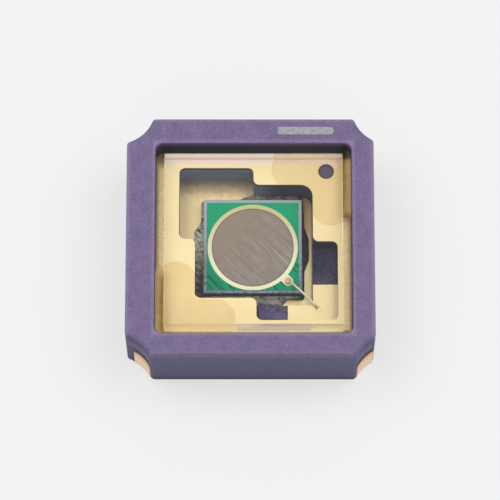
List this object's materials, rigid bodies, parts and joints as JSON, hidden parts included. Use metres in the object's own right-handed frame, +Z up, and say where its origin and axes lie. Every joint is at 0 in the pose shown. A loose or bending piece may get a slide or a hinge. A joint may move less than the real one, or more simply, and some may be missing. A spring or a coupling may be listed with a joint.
{
  "type": "photodiode",
  "caption": "Square photodiode chip with a round active area, wire-bonded in a leadless purple ceramic carrier with castellated corners, under a glued flat glass window.",
  "frame": {"origin": "under the middle of the carrier, on the plane of the solder lands", "axes": "+Z up through the window, +X right and +Y to the back, with the printed bar at the back"},
  "size_m": [0.003, 0.003, 0.0011],
  "materials": {
    "fired_ceramic": "fired matte, fine grain",
    "gold_plating": "matte gold plating",
    "die_epoxy": "cured filled epoxy",
    "silicon": "sawn silicon",
    "green_coating": "thin clear oxide showing green",
    "active_coating": "anti-reflection coating, fine scratches",
    "contact_metal": "evaporated metal",
    "gold_wire": "drawn gold",
    "clear_glue": "cured clear resin",
    "window_glass": "polished faces, sawn edges",
    "grey_ink": "printed ink"
  },
  "bodies": {
    "root": {"ceramic_carrier": "fired_ceramic", "terminal_front_left": "gold_plating", "terminal_front_right": "gold_plating", "terminal_back_left": "gold_plating", "terminal_back_right": "gold_plating", "die_pad": "gold_plating", "bond_pad": "gold_plating", "window_plane": "gold_plating", "die_adhesive": "die_epoxy", "chip": "silicon", "passivation": "green_coating", "active_area": "active_coating", "contact_ring": "contact_metal", "bond_wire": "gold_wire", "window_glue": "clear_glue", "window": "window_glass", "index_mark": "grey_ink"}
  },
  "joints": []
}
